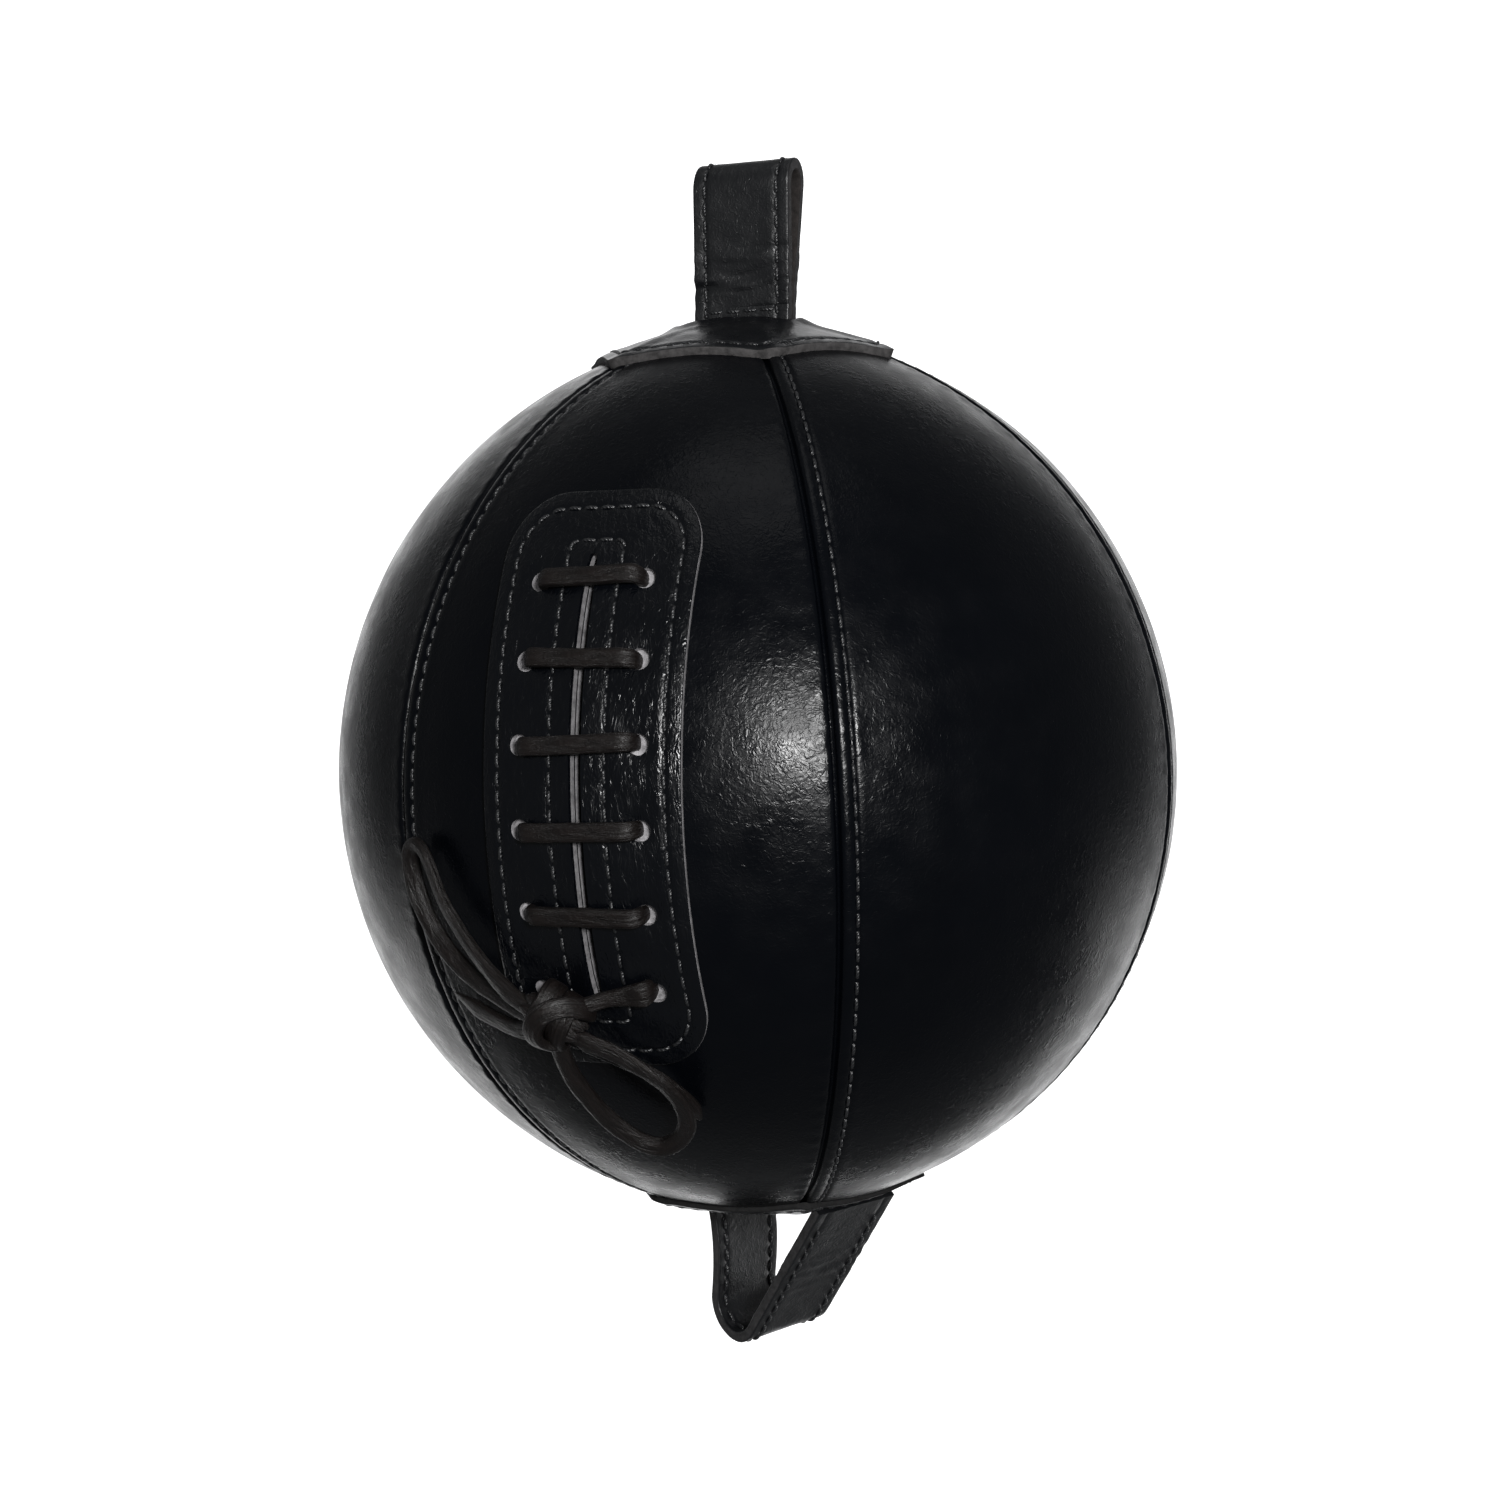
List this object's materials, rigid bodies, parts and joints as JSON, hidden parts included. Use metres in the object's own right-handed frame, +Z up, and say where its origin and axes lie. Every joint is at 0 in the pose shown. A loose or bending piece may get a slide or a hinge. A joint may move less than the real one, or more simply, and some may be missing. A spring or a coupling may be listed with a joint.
{
  "type": "floor-to-ceiling boxing ball",
  "caption": "Laced leather ball over a rubber bladder, with a stitched strap loop at each pole, hung between cords for punching practice.",
  "frame": {"origin": "bearing point at the top of the hole in the upper strap loop, where the cord or hook that holds the ball bears", "axes": "+Z up along the ball's axis, from the lower loop to the upper one; -Y out of the laced front; +X to the right of someone facing the lacing"},
  "size_m": [0.2106, 0.2197, 0.2993],
  "materials": {
    "leather": "smooth black, creased, semi-gloss",
    "placket_leather": "smooth black, creased",
    "raw_leather": "dark flesh side, rough",
    "lace": "dark brown, rolled flat, waxed",
    "thread": "black bonded thread",
    "canvas": "natural canvas",
    "bladder_rubber": "black butyl rubber",
    "valve_rubber": "red rubber"
  },
  "bodies": {
    "top_loop": {"top_strap_outer": "leather", "top_strap_inner": "raw_leather", "top_strap_thread": "thread"},
    "ball": {"panel_1": "leather", "panel_2": "leather", "panel_3": "leather", "panel_4": "leather", "panel_5": "leather", "panel_6": "leather", "lining_1": "canvas", "lining_2": "canvas", "lining_3": "canvas", "lining_4": "canvas", "lining_5": "canvas", "lining_6": "canvas", "seam_thread_1": "thread", "seam_thread_2": "thread", "seam_thread_3": "thread", "seam_thread_4": "thread", "seam_thread_5": "thread", "seam_thread_6": "thread", "bladder": "bladder_rubber", "bladder_valve": "valve_rubber", "tongue": "raw_leather", "placket": "placket_leather", "placket_thread": "thread", "slit_thread": "thread", "top_patch": "leather", "bottom_patch": "leather", "top_patch_thread": "thread", "bottom_patch_thread": "thread", "top_strap_root": "leather", "top_anchor_thread": "thread", "bottom_strap_roots": "leather", "lace_ladder": "lace", "lace_knot": "lace", "bow_loop_right": "lace", "bow_loop_left": "lace", "lace_end_right": "lace", "lace_end_left": "lace"},
    "bottom_loop": {"bottom_strap_outer": "leather", "bottom_strap_inner": "raw_leather", "bottom_strap_thread": "thread"}
  },
  "joints": [
    {"name": "ball_swing", "type": "hinge", "parent": "top_loop", "child": "ball", "pos_m": [0, 0, -0.0317], "axis": [1, 0, 0], "range_deg": [-45, 45], "deforming": ["top_strap_root"]},
    {"name": "bottom_loop_sway", "type": "hinge", "parent": "ball", "child": "bottom_loop", "pos_m": [0.0052, -0.003, -0.2627], "axis": [0.5, 0.866, 0], "range_deg": [-15, 15], "deforming": ["bottom_strap_roots"]}
  ]
}
